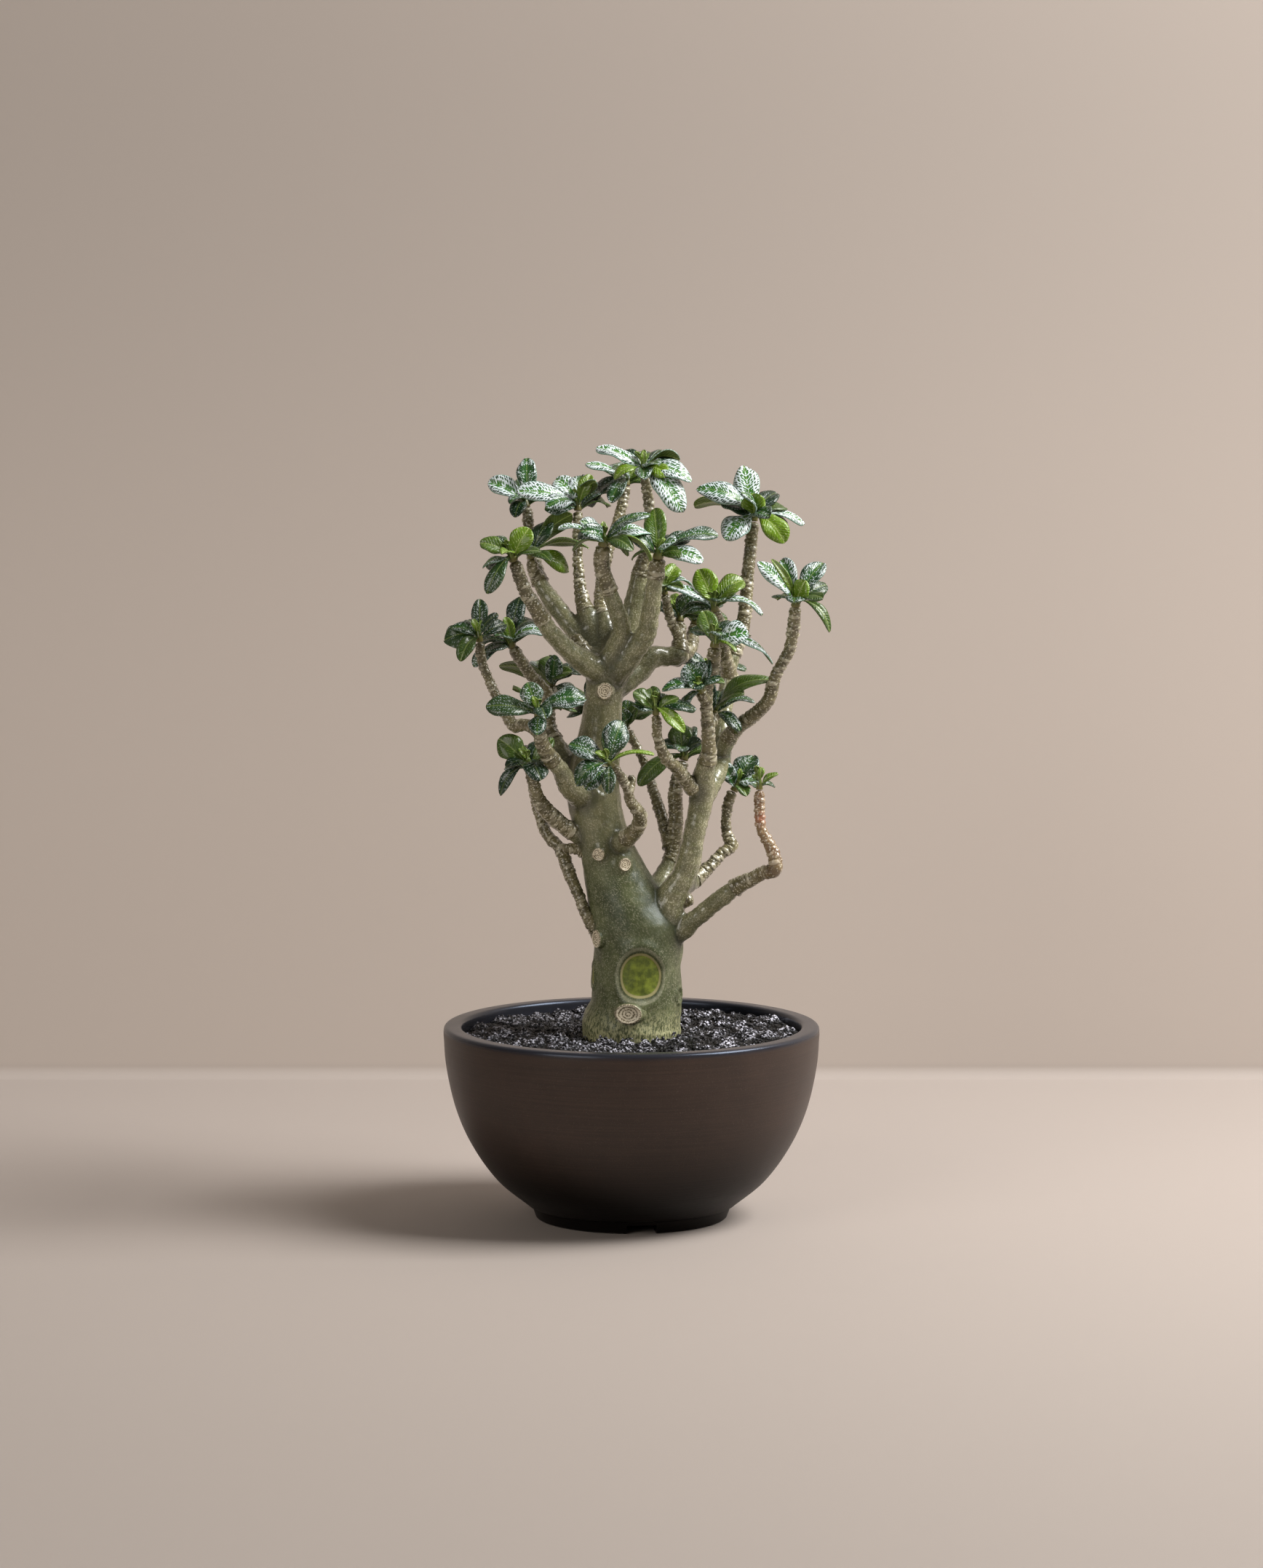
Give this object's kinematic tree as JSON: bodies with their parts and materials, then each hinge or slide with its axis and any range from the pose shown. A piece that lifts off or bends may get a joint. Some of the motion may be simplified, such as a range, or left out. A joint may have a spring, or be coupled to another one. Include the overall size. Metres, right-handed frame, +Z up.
{
  "type": "potted dorstenia gigas",
  "caption": "Old caudex plant with a swollen forking trunk and leafy twig ends, growing in a round black clay bowl filled with lava grit.",
  "frame": {"origin": "on the surface the bowl stands on, under the middle of the bowl", "axes": "+Z up; the side with the big oval pruning scar faces -Y; +X is to the right seen from that side"},
  "size_m": [0.2065, 0.203, 0.4186],
  "materials": {
    "clay": "dark brown-black unglazed clay, satin, finely turned",
    "lava_grit": "matt black lava granules with small grey glints",
    "bark": "smooth grey-green succulent bark with pale pores, leaf scars and pruning scars",
    "leaf": "glossy dark green blades flecked with silver, younger ones bright yellow-green"
  },
  "bodies": {
    "root": {"pot": "clay", "soil": "lava_grit", "wood": "bark", "leaves_right_limb": "leaf", "leaves_right_spur": "leaf", "leaves_right_inner_spur": "leaf", "leaves_right_back_limb": "leaf", "leaves_far_right": "leaf", "leaves_right_middle": "leaf", "leaves_right_small": "leaf", "leaves_low_right": "leaf", "leaves_inner_right": "leaf", "leaves_inner_back": "leaf", "leaves_inner_front": "leaf", "leaves_trunk_front": "leaf", "leaves_left_low": "leaf", "leaves_left_thin": "leaf", "leaves_left_limb": "leaf", "leaves_left_limb_back": "leaf", "leaves_left_front": "leaf", "leaves_far_left": "leaf", "leaves_upper_left_front": "leaf", "leaves_upper_left_back": "leaf", "leaves_upper_left_side": "leaf", "leaves_upper_back": "leaf", "leaves_upper_middle_front": "leaf", "leaves_upper_middle_back": "leaf", "leaves_crown_top": "leaf", "leaves_upper_right_front": "leaf", "leaves_right_head": "leaf", "leaves_right_head_inner": "leaf", "leaves_right_head_outer": "leaf", "leaves_low_back": "leaf", "leaves_middle_back": "leaf"}
  },
  "joints": []
}
